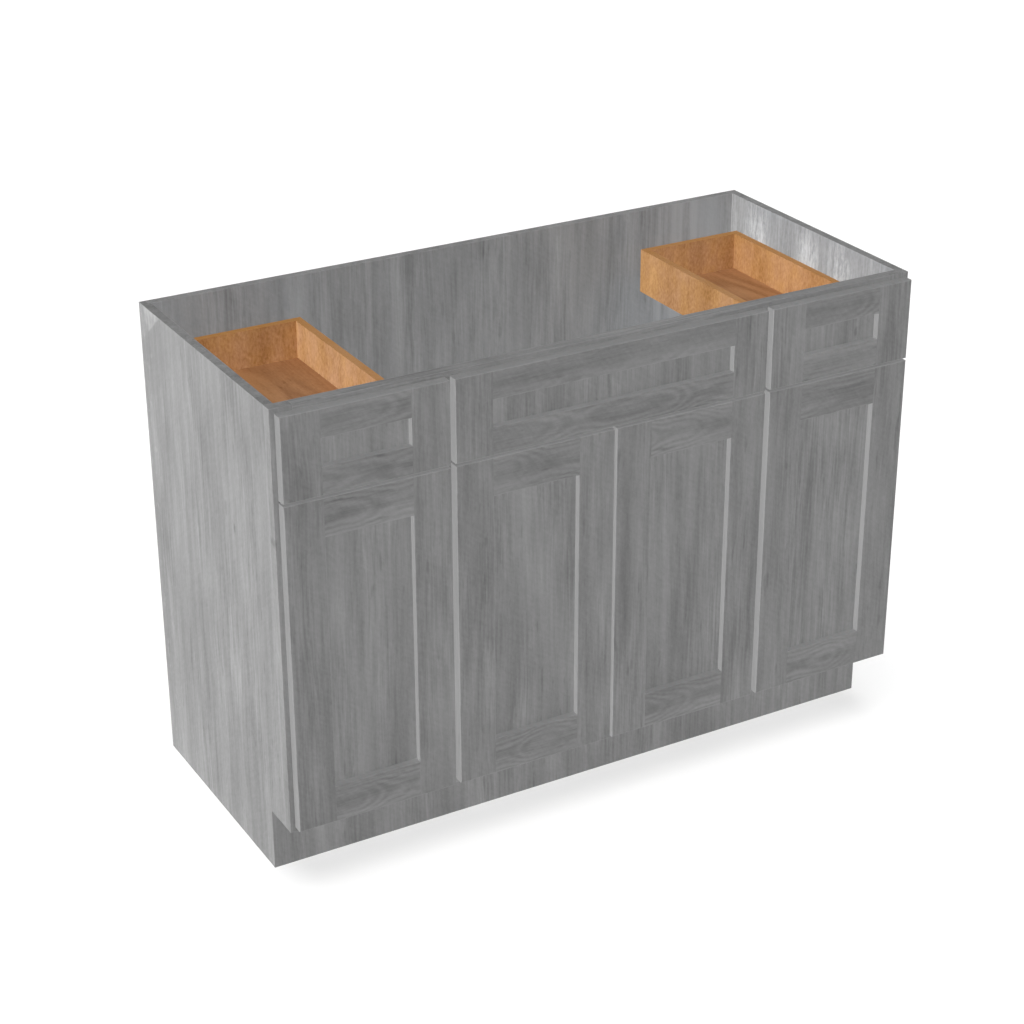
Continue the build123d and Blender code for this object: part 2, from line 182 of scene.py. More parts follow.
dashes = ease(timber, stretched_noise(timber, fibre_place, (105.0, 105.0, 16.0), jump, 1.0), 0.66, 0.80)
pores = reckon(timber, "MAXIMUM", times(timber, ticks, 0.5), dashes)
specks = stretched_noise(timber, fibre_place, (260.0, 260.0, 130.0), jump, 2.0, 0.6)
spread = apart(timber, reckon_places(timber, "ADD", fibre_place, jump))
spot_place = together(timber, spread[0], times(timber, spread[2], 0.35))
spot_feeds = {"Vector": spot_place, "Scale": 8.0}
spots = put(timber, "ShaderNodeTexVoronoi", spot_feeds, voronoi_dimensions="2D").outputs
ragged = stretched_noise(timber, place, (170.0, 170.0, 90.0), jump)
from_knot = weigh(timber, -0.025, (spots["Distance"], 1.0), (ragged, 0.05))
kept = ease(timber, put(timber, "ShaderNodeSeparateColor", {0: spots["Color"]}).outputs[0], 0.3, 1.0)
knots = times(timber, ease(timber, from_knot, 0.034, 0.004), kept)
relief = weigh(timber, 0.5, (streaks, 0.5), (pores, -0.4), (knots, -0.3))
give(timber, {"Streaks": streaks, "Mottle": mottle, "Figure": figure, "Pores": pores, "Specks": specks,
              "Knots": knots, "Relief": relief})

# Sanded edges of a box, and of an opening through its front, each given by half sizes about the same middle.
edges, given = new_group(
    "sanded edges",
    {"Place": (0.0, 0.0, 0.0), "Middle": (0.0, 0.0, 0.0), "Half size": (1.0, 1.0, 1.0),
     "Half opening": (-1.0, -1.0, -1.0), "Width": 0.002},
    ("Edge",),
)
offset = reckon_places(edges, "SUBTRACT", given["Place"], given["Middle"])
from_middle = reckon_places(edges, "ABSOLUTE", offset)
depth = apart(edges, reckon_places(edges, "SUBTRACT", given["Half size"], from_middle))
nearer = reckon(edges, "MINIMUM", depth[0], depth[1])
farther = reckon(edges, "MAXIMUM", depth[0], depth[1])
to_edge = reckon(edges, "MAXIMUM", nearer, reckon(edges, "MINIMUM", farther, depth[2]))
past = apart(edges, reckon_places(edges, "SUBTRACT", from_middle, given["Half opening"]))
to_opening = reckon(edges, "ABSOLUTE", reckon(edges, "MAXIMUM", past[0], past[2]))
from_front = apart(edges, reckon_places(edges, "ADD", offset, given["Half size"]))[1]
to_opening = reckon(edges, "MAXIMUM", to_opening, from_front)
rub = stretched_noise(edges, given["Place"], (55.0, 55.0, 55.0), (4.0, 9.0, 2.0), 3.0)
rubbed = ease(edges, reckon(edges, "MINIMUM", to_edge, to_opening), given["Width"], 0.0)
give(edges, {"Edge": times(edges, rubbed, ease(edges, rub, 0.3, 0.6))})

# The axes of the cabinet that lie across the grain, through the board and along the grain.
board_axes = {"side upright": "YXZ", "upright": "XYZ", "level": "ZYX", "deep": "XZY"}


def lay_timber(tree, lie, seed, arch, rings, crests=0.0, from_heart=0.0):
    """Places the timber figure in a material, for a board that lies as named, and gives its outputs."""
    axes = apart(tree, on_surface(tree))
    feeds = {"Board place": together(tree, *[axes[axis] for axis in board_axes[lie]])}
    feeds.update({"Seed": seed, "Arch": arch, "Rings": rings, "Crests": crests, "From heart": from_heart})
    return put(tree, "ShaderNodeGroup", feeds, node_tree=timber).outputs


def middle_and_half(names):
    """The middle and the half size of the box that the named CAD pieces fill."""
    corners = [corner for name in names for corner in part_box(name)]
    low = Vector([min(corner[i] for corner in corners) for i in range(3)])
    high = Vector([max(corner[i] for corner in corners) for i in range(3)])
    return (low + high) / 2, (high - low) / 2


rubbed_width = 0.0018


def lay_edges(tree, names, frame_widths=None):
    """Places the sanded edges in a material, on the box that the named CAD pieces fill."""
    middle, half = middle_and_half(names)
    feeds = {"Place": on_surface(tree), "Middle": middle, "Half size": half, "Width": rubbed_width}
    if frame_widths:
        feeds["Half opening"] = half - Vector(frame_widths)
    return put(tree, "ShaderNodeGroup", feeds, node_tree=edges).outputs["Edge"]


def new_finish(name):
    """A material with its Principled shader, ready to be fed."""
    finish = bpy.data.materials.new(name)
    finish.use_nodes = True
    return finish, finish.node_tree, finish.node_tree.nodes["Principled BSDF"]


def feed_shader(shader, colour, rough, relief, strength, depth):
    """Feeds a shader with its colour, its roughness and a relief, so strong and so deep in metres."""
    tree = shader.id_data
    tree.links.new(colour, shader.inputs["Base Color"])
    tree.links.new(rough, shader.inputs["Roughness"])
    bump = put(tree, "ShaderNodeBump", {"Height": relief, "Strength": strength, "Distance": depth})
    tree.links.new(bump.outputs[0], shader.inputs["Normal"])


def lay_over(finish, mask, colour, how="MIX"):
    """Lays a colour over what a finish has so far, where the mask says."""
    base = finish.node_tree.nodes["Principled BSDF"].inputs["Base Color"]
    finish.node_tree.links.new(tint(finish.node_tree, mask, base.links[0].from_socket, colour, how), base)


def facing(tree, axis, way):
    """One on the faces that look one way along an axis, and nothing on the others."""
    look = apart(tree, put(tree, "ShaderNodeTexCoord").outputs["Normal"])
    return reckon(tree, "GREATER_THAN", times(tree, look[axis], way), 0.7)


def grey(level):
    """A plain grey."""
    return (level, level, level, 1.0)


stain_dark = grey(0.102)
stain_light = grey(0.338)
stain_knot = grey(0.080)
stain_rubbed = grey(0.31)
# The even grey laid on the side faces of framed boards, painted light.
side_face_grey = grey(0.250)
knot_cover = 0.55
rubbed_cover = 0.55
# How far the painted lighter upward faces and the painted side-face grey cover framed boards.
top_face_light_cover = 0.5
side_face_cover = 0.65
heart_reach = 0.018
heart_core = 0.002
heart_weight = -0.09


def grey_stained(name, lie, seed, edge_of, frame_widths=None, arch=0.08, rings=7.0, crests=0.0, figured=0.10,
                 middle=0.515, streaked=1.2):
    """Grey stained wood. Arch, rings and crests shape the growth rings, and figured is how far they show.

    The boards of a framed front have its stile and rail widths. Their upward faces are painted lighter and
    their side faces an even grey, both painted light, and a rail's rings bow about the heart along its
    middle."""
    finish, tree, shader = new_finish(name)
    from_heart = 0.0
    if frame_widths and lie == "level":
        frame_middle, half = middle_and_half(edge_of)
        from_middle = gap(tree, apart(tree, on_surface(tree))["Z"], frame_middle.z)
        from_heart = reckon(tree, "SUBTRACT", from_middle, half.z - frame_widths[2] / 2)
    wood = lay_timber(tree, lie, seed, arch, rings, crests, from_heart)
    weights = {"Streaks": streaked, "Mottle": 0.75, "Figure": -figured, "Specks": 0.22, "Pores": -0.18}
    tone = tone_about(tree, middle, wood, weights)
    if crests:
        core = ease(tree, reckon(tree, "ABSOLUTE", from_heart), heart_reach, heart_core)
        tone = weigh(tree, tone, (core, heart_weight))
    colour = tint(tree, tone, stain_dark, stain_light)
    colour = tint(tree, times(tree, wood["Knots"], knot_cover), colour, stain_knot)
    rubbed = lay_edges(tree, edge_of, frame_widths)
    colour = tint(tree, times(tree, rubbed, rubbed_cover), colour, stain_rubbed)
    if frame_widths:
        # Painted light: the upward faces of a framed board are painted lighter, and its side faces an even
        # grey.
        colour = tint(tree, times(tree, facing(tree, "Z", 1.0), top_face_light_cover), colour, stain_light)
        side_faces = reckon(tree, "MAXIMUM", facing(tree, "X", -1.0), facing(tree, "X", 1.0))
        colour = tint(tree, times(tree, side_faces, side_face_cover), colour, side_face_grey)
    rough = ease(tree, tone, 0.2, 0.8, start=0.62, end=0.5)
    feed_shader(shader, colour, rough, wood["Relief"], strength=0.2, depth=0.0004)
    shader.inputs["Specular IOR Level"].default_value = 0.2
    return finish


def dress(finish, *names):
    """Gives a finish to CAD pieces."""
    for name in names:
        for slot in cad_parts[name].material_slots:
            slot.material = finish


left_veneer = grey_stained("left side veneer", "side upright", 1.0, ["left_side_panel"])
dress(left_veneer, "left_side_panel")
right_veneer = grey_stained("right side veneer", "side upright", 2.0, ["right_side_panel"])
dress(right_veneer, "right_side_panel")

# The left side's outer face has a painted reflection: a pale ragged patch near the back, just below its top
# edge.
# Around it, towards the back and the top, the outside face is made a little lighter.
painted_reflection_grey = grey(0.44)
back_edge, top_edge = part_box("left_side_panel")[1].y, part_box("left_side_panel")[1].z
tree = left_veneer.node_tree
place = on_surface(tree)
spot = apart(tree, place)
outside = facing(tree, "X", -1.0)
inward = reckon(tree, "SUBTRACT", back_edge, spot["Y"])
down = reckon(tree, "SUBTRACT", top_edge, spot["Z"])
reflection_noise = stretched_noise(tree, place, (90.0, 90.0, 45.0), (5.0, 3.0, 8.0), 3.0, 0.6)
wander = reckon(tree, "MULTIPLY_ADD", reflection_noise, 0.016, -0.008)
lower = reckon(tree, "ADD", reckon(tree, "MULTIPLY_ADD", down, 1.3, inward), wander)
rear = reckon(tree, "ADD", reckon(tree, "MULTIPLY_ADD", down, -0.5, inward), wander)
corner = times(tree, ease(tree, lower, 0.095, 0.086), ease(tree, rear, 0.006, 0.030, 0.2, 1.0))
flecks = times(tree, ease(tree, reflection_noise, 0.56, 0.72), ease(tree, inward, 0.09, 0.01))
broken = times(tree, corner, ease(tree, reflection_noise, 0.3, 0.62, 0.35, 1.0))
painted_reflection = weigh(tree, 0.0, (broken, 0.72), (flecks, 0.3))
# Painted reflection, laid on the outside face.
lay_over(left_veneer, times(tree, painted_reflection, outside), painted_reflection_grey)
# The outside face made a little lighter towards the back and the top.
lighter_to_back_top = weigh(tree, 0.0, (ease(tree, inward, 0.20, 0.08), 0.15), (ease(tree, spot["Z"], 0.40, 0.75), 0.06))
lay_over(left_veneer, times(tree, lighter_to_back_top, outside), stain_light)

# The right side's inner face has painted highlights near the top: a pale overlay, strongest in three broad
# upright bands.
# Over most of the inner face, less near the back, it has a painted cool tint that cancels the drawers' warm
# bounce light.
highlight_grey = grey(0.54)
bounce_cancelling_cool = (0.957, 1.0, 1.041, 1.0)
highlight_places = (0.175, 0.015, -0.085)
highlight_reach = 0.048
highlight_core = 0.008
tree = right_veneer.node_tree
place = on_surface(tree)
spot = apart(tree, place)
inside = facing(tree, "X", -1.0)
wander = stretched_noise(tree, place, (20.0, 20.0, 25.0), (2.0, 4.0, 1.0))
along = weigh(tree, -0.02, (spot["Y"], 1.0), (wander, 0.04))
blots = 0.0
for highlight_at in highlight_places:
    blot = ease(tree, gap(tree, along, highlight_at), highlight_reach, highlight_core)
    blots = reckon(tree, "MAXIMUM", blot, blots)
highlight_streak_noise = stretched_noise(tree, place, (60.0, 120.0, 13.0), (7.0, 1.0, 3.0), 6.0, 0.75)
highlight_breakup = stretched_noise(tree, place, (170.0, 170.0, 70.0), (3.0, 6.0, 2.0), 4.0, 0.7)
highlight_streak_noise = weigh(tree, 0.0, (highlight_streak_noise, 0.62), (highlight_breakup, 0.38))
highlight_streaks = ease(tree, highlight_streak_noise, 0.38, 0.60, 0.13, 1.0)
below_edge = ease(tree, spot["Z"], 0.874, 0.832, 0.3, 1.0)
near_top = ease(tree, spot["Z"], 0.60, 0.79, 0.1, 1.0)
highlight_bands = times(tree, blots, highlight_streaks, below_edge)
pale = times(tree, weigh(tree, 0.0, (highlight_bands, 0.61), (highlight_streaks, 0.22)), inside, near_top)
# Painted highlights, laid on the inner face near the top.
lay_over(right_veneer, pale, highlight_grey)
# Painted cool tint that cancels the drawers' warm bounce light.
painted_cool = times(tree, ease(tree, spot["Y"], 0.25, 0.13, 0.25, 1.0), inside)
lay_over(right_veneer, painted_cool, bounce_cancelling_cool, "MULTIPLY")


# Deck: the cabinet's floor, plywood with the same grey veneer, the grain along its length.
# It is housed between the sides and rests on the toe kick board.
dress(grey_stained("deck veneer", "level", 4.0, ["bottom_panel"]), "bottom_panel")


# Back panel: plywood across the whole back, grey veneer with upright grain on the inside, bare at the wall.
# It is as thick as the sides and let into rabbets at their back edges. Screws through it hold the cabinet
# to the wall.
ply_dark = (0.26, 0.16, 0.085, 1.0)
ply_light = (0.62, 0.47, 0.30, 1.0)
ply_knot = (0.12, 0.065, 0.03, 1.0)
ply_knot_cover = 0.8


def ply_colour(tree, lie, seed):
    """Bare plywood: pale tan, with soft rings and grey brown pores."""
    wood = lay_timber(tree, lie, seed, arch=0.16, rings=8.0)
    tone = tone_about(tree, 0.5, wood, {"Streaks": 0.9, "Mottle": 0.8, "Figure": -0.3, "Pores": -0.3})
    colour = tint(tree, tone, ply_dark, ply_light)
    return tint(tree, times(tree, wood["Knots"], ply_knot_cover), colour, ply_knot), wood


# The inside of the back is given a lighter middle tone than the other grey wood: painted light that makes up
# for the shade inside the box.
back_veneer = grey_stained("back veneer", "upright", 3.0, ["back_panel"], middle=0.585)
dress(back_veneer, "back_panel")
tree = back_veneer.node_tree
place = on_surface(tree)
across = apart(tree, place)["X"]
inside = facing(tree, "Y", -1.0)
stripes = ease(tree, stretched_noise(tree, place, (45.0, 45.0, 2.0), (6.0, 2.0, 9.0)), 0.36, 0.6, 0.2, 1.3)
right_end = ease(tree, across, 0.37, 0.43)
left_end = ease(tree, across, -0.50, -0.58)
dark_band = ease(tree, gap(tree, across, 0.545), 0.035, 0.012)
paler = weigh(tree, 0.0, (right_end, 0.58), (left_end, 0.2), (dark_band, -0.25))
lay_over(back_veneer, times(tree, paler, stripes, inside), stain_light)
# Near the drawers, less towards the right corner, the inside gets a painted cool tint that cancels their warm
# bounce light.
near_drawers = ease(tree, reckon(tree, "ABSOLUTE", across), 0.22, 0.42, 0.32, 1.0)
off_corner = ease(tree, across, 0.60, 0.53, 0.4, 1.0)
lay_over(back_veneer, times(tree, near_drawers, off_corner, inside), bounce_cancelling_cool, "MULTIPLY")
lay_over(back_veneer, facing(tree, "Y", 1.0), ply_colour(tree, "upright", 6.0)[0])


# Toe kick: a bare plywood board under the deck, between the sides, carries the cabinet's front.
# A thin skin of grey veneered ply, its grain upright, is glued over it across the whole width.
def bare_ply(name, lie, seed):
    """Bare plywood, unsanded, with no lacquer."""
    finish, tree, shader = new_finish(name)
    colour, wood = ply_colour(tree, lie, seed)
    rough = ease(tree, wood["Mottle"], 0.3, 0.7, start=0.68, end=0.82)
    feed_shader(shader, colour, rough, wood["Relief"], strength=0.35, depth=0.0005)
    shader.inputs["Specular IOR Level"].default_value = 0.2
    return finish


dress(bare_ply("toe kick board ply", "level", 52.0), "toe_kick_board")
dress(grey_stained("toe kick veneer", "upright", 5.0, ["toe_kick_skin"]), "toe_kick_skin")


# Face frame: solid wood stiles, mullions and rails, stained grey, joined with pocket screws and glue.
# It closes the front of the box, and its edges carry the hinges and the slides.
dress(grey_stained("frame stile wood", "upright", 1.0, ["frame_end_stiles"]), "frame_end_stiles")
dress(grey_stained("frame mullion wood", "upright", 7.0, ["frame_mullions"]), "frame_mullions")
for i, rail in enumerate(("frame_top_rail", "frame_bottom_rail", "frame_centre_rail", "frame_drawer_rails")):
    dress(grey_stained(f"{rail} wood", "level", 60.0 + i, [rail], arch=0.3, figured=0.14), rail)


# Drawer boxes: pale orange lacquered wood, four boards to a box, with a thin redder bottom let into a groove.
# The boards are butted and glued, and the front board is screwed to the drawer's front.
def lacquered(name, lie, seed, colours, weights, arch=0.12, rings=5.0):
    """Pale wood under clear lacquer. The weights say how far each part of the timber figure shows."""
    finish, tree, shader = new_finish(name)
    wood = lay_timber(tree, lie, seed, arch, rings)
    tone = tone_about(tree, 0.53, wood, weights)
    rough = ease(tree, tone, 0.2, 0.8, start=0.5, end=0.4)
    feed_shader(shader, tint(tree, tone, *colours), rough, wood["Relief"], strength=0.12, depth=0.0004)
    shader.inputs["Specular IOR Level"].default_value = 0.12
    return finish


side_maples = {"left": ((0.21, 0.099, 0.038, 1.0), (0.54, 0.329, 0.192, 1.0)),
               "right": ((0.195, 0.084, 0.026, 1.0), (0.49, 0.282, 0.148, 1.0))}
end_maple = ((0.20, 0.086, 0.028, 1.0), (0.50, 0.285, 0.150, 1.0))
bottom_maple = ((0.173, 0.069, 0.0265, 1.0), (0.49, 0.262, 0.126, 1.0))
amber_cast = (1.0, 0.98, 0.80, 1.0)
rim_maple = (0.51, 0.233, 0.058, 1.0)
rim_cover = 0.7
pale_band = (0.43, 0.215, 0.083, 1.0)
band_cover = 0.45
wall_weights = {"Streaks": 0.4, "Mottle": 1.25, "Figure": -0.12, "Specks": 0.9, "Pores": -0.08}
bottom_weights = {"Streaks": 0.7, "Mottle": 0.4, "Figure": -0.32, "Specks": 0.4, "Pores": -0.25}
for i, side in enumerate(("left", "right")):
    walls = lacquered(f"{side} drawer side wood", "side upright", 40.0 + i, side_maples[side], wall_weights)
    ends = lacquered(f"{side} drawer end wood", "upright", 43.0 + i, end_maple, wall_weights)
    for wall in (walls, ends):
        tree = wall.node_tree
        patches = stretched_noise(tree, on_surface(tree), (24.0, 24.0, 14.0), (8.0, 3.0, 5.0), 3.0, 0.6)
        lay_over(wall, ease(tree, patches, 0.33, 0.67), amber_cast, "MULTIPLY")
        lay_over(wall, times(tree, facing(tree, "Z", 1.0), rim_cover), rim_maple)
    dress(walls, f"{side}_drawer_box_sides")
    dress(ends, f"{side}_drawer_box_front", f"{side}_drawer_box_back")

    bottom_name = f"{side}_drawer_box_bottom"
    bottom_look = {"weights": bottom_weights, "arch": 0.16, "rings": 17.0}
    bottom = lacquered(f"{side} drawer bottom wood", "deep", 46.0 + i, bottom_maple, **bottom_look)
    tree = bottom.node_tree
    place = on_surface(tree)
    wander = stretched_noise(tree, place, (40.0, 4.0, 40.0), (1.0, 3.0, 2.0))
    off_middle = reckon(tree, "SUBTRACT", apart(tree, place)["X"], middle_and_half([bottom_name])[0].x)
    band = ease(tree, weigh(tree, -0.03, (off_middle, 1.0), (wander, 0.06)), 0.03, -0.05)
    lay_over(bottom, times(tree, band, band_cover), pale_band)
    dress(bottom, bottom_name)


# Drawer slides: rolled steel channels under each drawer, zinc plated, with a grey nylon socket at the back.
# The cabinet member hangs between the frame and the socket, and the carriage runs halfway with the drawer.
plating, given = new_group(
    "plated steel",
    {"Place": (0.0, 0.0, 0.0), "Stretch": (1400.0, 60.0, 1400.0)},
    ("Bloom", "Lines", "Crystals"),
)
bloom = stretched_noise(plating, given["Place"], (70.0, 70.0, 70.0), (1.0, 5.0, 3.0), 3.0)
lines = stretched_noise(plating, given["Place"], given["Stretch"], (2.0, 8.0, 5.0), 2.0)
crystal = put(plating, "ShaderNodeTexVoronoi", {"Vector": given["Place"], "Scale": 240.0}).outputs["Color"]
crystals = put(plating, "ShaderNodeSeparateColor", {0: crystal}).outputs[0]
give(plating, {"Bloom": bloom, "Lines": lines, "Crystals": crystals})


def plated(name, dark, light, stretch, crystalline, smooth, rough):
    """Plated steel, with a soft bloom, rolling lines and, on zinc, faint crystals."""
    finish, tree, shader = new_finish(name)
    feeds = {"Place": on_surface(tree), "Stretch": stretch}
    masks = put(tree, "ShaderNodeGroup", feeds, node_tree=plating).outputs
    tone = tone_about(tree, 0.5, masks, {"Bloom": 0.9, "Lines": 0.5, "Crystals": crystalline})
    sheen = ease(tree, tone, 0.1, 0.9, start=rough, end=smooth)
    feed_shader(shader, tint(tree, tone, dark, light), sheen, masks["Lines"], strength=0.08, depth=0.0002)
    shader.inputs["Metallic"].default_value = 1.0
    return finish


zinc_dark, zinc_light = (0.36, 0.38, 0.40, 1.0), (0.66, 0.68, 0.70, 1.0)
zinc_look = {"stretch": (1400.0, 50.0, 1400.0), "crystalline": 0.4, "smooth": 0.28, "rough": 0.5}
zinc = plated("zinc plated slide", zinc_dark, zinc_light, **zinc_look)
dress(zinc, "slide_cabinet_members")
for side in ("left", "right"):
    dress(zinc, f"{side}_drawer_slide_members", f"{side}_drawer_carriages")

moulding, given = new_group("moulded skin", {"Place": (0.0, 0.0, 0.0)}, ("Shade", "Grain"))
shade = stretched_noise(moulding, given["Place"], (90.0, 90.0, 90.0), (3.0, 1.0, 7.0), 3.0)
grain = stretched_noise(moulding, given["Place"], (1500.0, 1500.0, 1500.0), (0.0, 2.0, 4.0), 2.0)
give(moulding, {"Shade": shade, "Grain": grain})


def moulded(name, dark, light, smooth, rough):
    """Moulded plastic, with a fine spark grain and a little shading from handling."""
    finish, tree, shader = new_finish(name)
    masks = put(tree, "ShaderNodeGroup", {"Place": on_surface(tree)}, node_tree=moulding).outputs
    tone = tone_about(tree, 0.5, masks, {"Shade": 1.1, "Grain": 0.4})
    sheen = ease(tree, tone, 0.2, 0.8, start=smooth, end=rough)
    feed_shader(shader, tint(tree, tone, dark, light), sheen, masks["Grain"], strength=0.15, depth=0.0002)
    return finish


nylon_dark, nylon_light = (0.085, 0.087, 0.09, 1.0), (0.17, 0.172, 0.176, 1.0)
nylon = moulded("grey nylon", nylon_dark, nylon_light, smooth=0.42, rough=0.58)
dress(nylon, "slide_rear_brackets", "left_drawer_locking_clips", "right_drawer_locking_clips")


# Doors, drawer fronts and the fixed front over the sink: solid stiles and rails around a flat veneered panel.
# The stiles run the full height, the rails are joined between them, and the panel sits in a groove all round.
doors = ("left_door", "centre_left_door", "centre_right_door", "right_door")
low_fronts = ("false_front", "right_drawer_front", "left_drawer_front")
front_stile_width = 0.068
door_rail_height = 0.0675
low_rail_height = 0.049
stile_look = {"middle": 0.485, "streaked": 1.1}
rail_look = {"arch": 0.9, "rings": 7.5, "crests": 1.3, "figured": 0.15, "middle": 0.505, "streaked": 0.62}
for i, front in enumerate(doors + low_fronts):
    edge_of = [f"{front}_stiles", f"{front}_rails"]
    widths = (front_stile_width, 0.0, door_rail_height if front in doors else low_rail_height)
    stile_wood = grey_stained(f"{front} stile wood", "upright", 10.0 + i, edge_of, widths, **stile_look)
    dress(stile_wood, f"{front}_stiles")
    rail_wood = grey_stained(f"{front} rail wood", "level", 20.0 + i, edge_of, widths, **rail_look)
    dress(rail_wood, f"{front}_rails")
    dress(grey_stained(f"{front} panel wood", "upright", 30.0 + i, [f"{front}_panel"]), f"{front}_panel")


# Cleats and screws: two bare ply blocks behind the frame hold the fixed front, with two screws through each.
# The screws are yellow zinc plated, with a rolled thread and a cross recess in a domed head.
dress(bare_ply("cleat ply", "upright", 53.0), "false_front_cleats")
screw_dark, screw_light = (0.36, 0.30, 0.18, 1.0), (0.74, 0.66, 0.46, 1.0)
screw_look = {"stretch": (900.0, 900.0, 900.0), "crystalline": 0.1, "smooth": 0.25, "rough": 0.45}
yellow_zinc = plated("yellow zinc screw", screw_dark, screw_light, **screw_look)
screw_radius = 0.00175
screw_core = screw_radius * 0.78
screw_tip = 0.0004
thread_pitch = 0.0014
head_radius = 0.0035
head_height = 0.0019
head_dome = [(head_radius, 0.0), (head_radius, 0.0005)]
head_dome += [(head_radius * 0.93, 0.0011), (head_radius * 0.76, 0.0016)]
recess_reach = 0.0019
recess_half_width = 0.00045
recess_floor = 0.0006
recess_taper = 0.6


def stand_at(place, out):
    """A stand for a turned piece: its seat at the place, its axis pointing out."""
    return Matrix.Translation(place) @ Vector(out).to_track_quat("Z", "Y").to_matrix().to_4x4()


def skin(shape, rings):
    """Faces between each ring of points and the next one."""
    for low, high in zip(rings, rings[1:]):
        for i in range(len(low)):
            shape.faces.new((low[i - 1], low[i], high[i], high[i - 1]))


def turned(shape, stand, profile, sides=20):
    """A turned piece, closed at its foot and open at its top ring, which it gives back."""
    turns = [2 * pi * i / sides for i in range(sides)]
    rings = []
    for radius, height in profile:
        points = [Vector((radius * cos(turn), radius * sin(turn), height)) for turn in turns]
        rings.append([shape.verts.new(stand @ point) for point in points])
    skin(shape, rings)
    shape.faces.new(rings[0][::-1])
    return rings[-1]


def cross_screw(shape, stand, length):
    """A screw seated on its stand, with a cross recess that narrows to its floor."""
    profile = [(screw_tip, -length)]
    for i in range(1, int(length / thread_pitch)):
        crest = thread_pitch * i - length
        profile += [(screw_radius, crest), (screw_core, crest + thread_pitch / 2)]
    profile += [(screw_radius, 0.0)] + head_dome
    rim = turned(shape, stand, profile)
    mouth, foot = [], []
    for turn in range(4):
        quarter_turn = Matrix.Rotation(turn * pi / 2, 3, "Z")
        for across, beside in ((recess_reach, -recess_half_width), (recess_reach, recess_half_width),
                               (recess_half_width, recess_half_width)):
            corner = quarter_turn @ Vector((across, beside, 0.0))
            mouth.append(shape.verts.new(stand @ (corner + Vector((0.0, 0.0, head_height)))))
            foot.append(shape.verts.new(stand @ (corner * recess_taper + Vector((0.0, 0.0, recess_floor)))))
    skin(shape, [mouth, foot])
    shape.faces.new(foot)
    around = [shape.edges.get((loop[i - 1], loop[i])) for loop in (rim, mouth) for i in range(len(loop))]
    out = stand.to_3x3() @ Vector((0.0, 0.0, 1.0))
    bmesh.ops.triangle_fill(shape, edges=around, use_beauty=True, normal=out)


def add_piece(name, shape, finish, body, stands_for):
    """Makes a piece of a shape. It moves with a body and stands for a CAD piece."""
    bmesh.ops.recalc_face_normals(shape, faces=shape.faces)
    mesh = bpy.data.meshes.new(name)
    shape.to_mesh(mesh)
    shape.free()
    mesh.shade_smooth()
    mesh.set_sharp_from_angle(angle=radians(35))
    mesh.materials.append(finish)
    piece = bpy.data.objects.new(name, mesh)
    bpy.context.scene.collection.objects.link(piece)
    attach(piece, body)
    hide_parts(stands_for)


cleat_back = -0.221225
cleat_screw_acrosses = (-0.15, 0.15)
cleat_screw_levels = (0.74915, 0.8335)
cleat_screw_length = 0.04895
shape = bmesh.new()
for across in cleat_screw_acrosses:
    for level in cleat_screw_levels:
        cross_screw(shape, stand_at((across, cleat_back, level), (0.0, 1.0, 0.0)), cleat_screw_length)
add_piece("fixed_front_screw_set", shape, yellow_zinc, "cabinet", "false_front_screws")


# Hinges: concealed cup hinges in nickel plated steel, two to a door. The cup is pressed into the door's
# stile, the arm is bent from strip and screwed to the frame's edge, and a pin in its rolled eye joins them.
# An arm is drawn about its pin: across, out to the back, and up.
nickel_dark, nickel_light = (0.40, 0.385, 0.36, 1.0), (0.74, 0.72, 0.68, 1.0)
nickel_look = {"stretch": (260.0, 260.0, 260.0), "crystalline": 0.0, "smooth": 0.2, "rough": 0.38}
nickel = plated("nickel plated hinge", nickel_dark, nickel_light, **nickel_look)
dress(nickel, "hinge_pins")
for door in doors:
    dress(nickel, f"{door}_hinge_cups")

eye_radius = 0.002
eye_half_thickness = 0.0005
reach_start = 0.0025
reach_end = 0.02375
reach_out = -0.0015
bend_radius = 0.0025
strap_end = 0.0125
strap_half_thickness = 0.001
strap_half_width = 0.004
strap_eased = 0.0003
strap_fillet = 0.002
plate_under = 0.02525
plate_top = 0.02725
plate_near = 0.01305
plate_far = 0.02905
plate_half_length = 0.025
plate_corner = 0.004
plate_eased = 0.0004


def hinge_strap(shape, stand):
    """The arm's strap: the rolled eye, the reach out of the cup and the bend."""
    line = []
    for a in range(15, 271, 15):
        line.append((eye_radius * cos(radians(a)), eye_radius * sin(radians(a)), eye_half_thickness))
    line.append((reach_start, reach_out, strap_half_thickness))
    line.append((reach_end, reach_out, strap_half_thickness))
    for a in (-67.5, -45.0, -22.5, 0.0):
        across = reach_end + bend_radius * cos(radians(a))
        out = reach_out + bend_radius + bend_radius * sin(radians(a))
        line.append((across, out, strap_half_thickness))
    line.append((reach_end + bend_radius, strap_end, strap_half_thickness))
    rings = []
    for i, (across, out, half) in enumerate(line):
        before, after = line[max(i - 1, 0)], line[min(i + 1, len(line) - 1)]
        run = Vector((after[0] - before[0], after[1] - before[1], 0.0)).normalized()
        thick = Vector((-run.y, run.x, 0.0))
        corners = []
        for way, end in ((1, 1), (1, -1), (-1, -1), (-1, 1)):
            flat = (way * half, end * (strap_half_width - strap_eased))
            edge = (way * (half - strap_eased), end * strap_half_width)
            corners += [edge, flat] if way == end else [flat, edge]
        middle = Vector((across, out, 0.0))
        points = [middle + thick * off + Vector((0.0, 0.0, level)) for off, level in corners]
        rings.append([shape.verts.new(stand @ point) for point in points])
    skin(shape, rings)
    shape.faces.new(rings[0][::-1])
    shape.faces.new(rings[-1])


